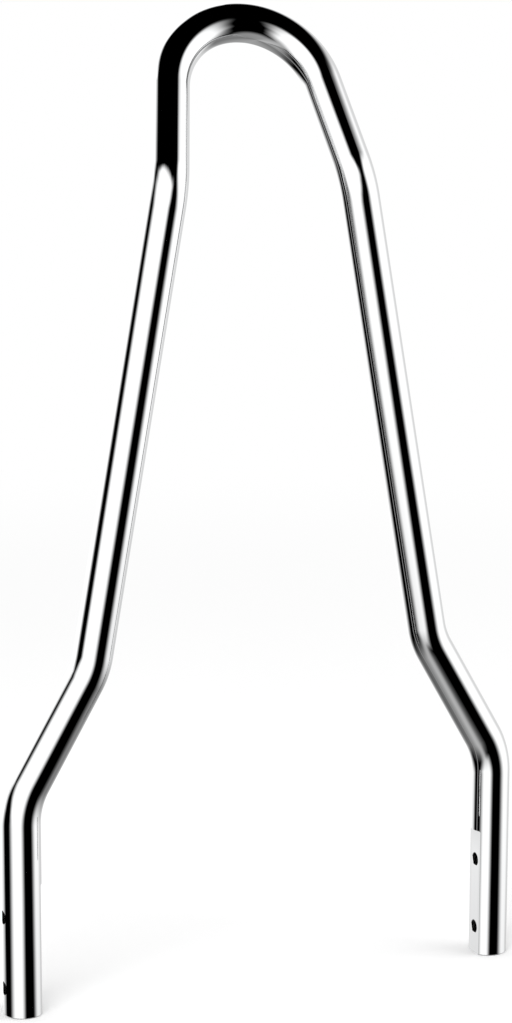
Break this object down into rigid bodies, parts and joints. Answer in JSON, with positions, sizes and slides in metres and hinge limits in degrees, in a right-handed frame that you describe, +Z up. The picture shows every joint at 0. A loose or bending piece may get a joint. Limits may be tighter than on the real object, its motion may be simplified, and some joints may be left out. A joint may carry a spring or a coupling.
{
  "type": "sissy bar hoop",
  "caption": "Chromed hoop bent from one solid round bar, with a folded-back arched top and two drilled, flatted feet that straddle a rear fender.",
  "frame": {"origin": "midway between the axes of the two legs, at the level of the sawn ends of the feet", "axes": "+X from the left foot to the right foot of the picture, +Y the way the top loop is folded back, +Z up along the legs"},
  "size_m": [0.264, 0.0572, 0.4743],
  "materials": {
    "chrome": "polished chrome plate"
  },
  "bodies": {
    "root": {"hoop": "chrome"}
  },
  "joints": []
}
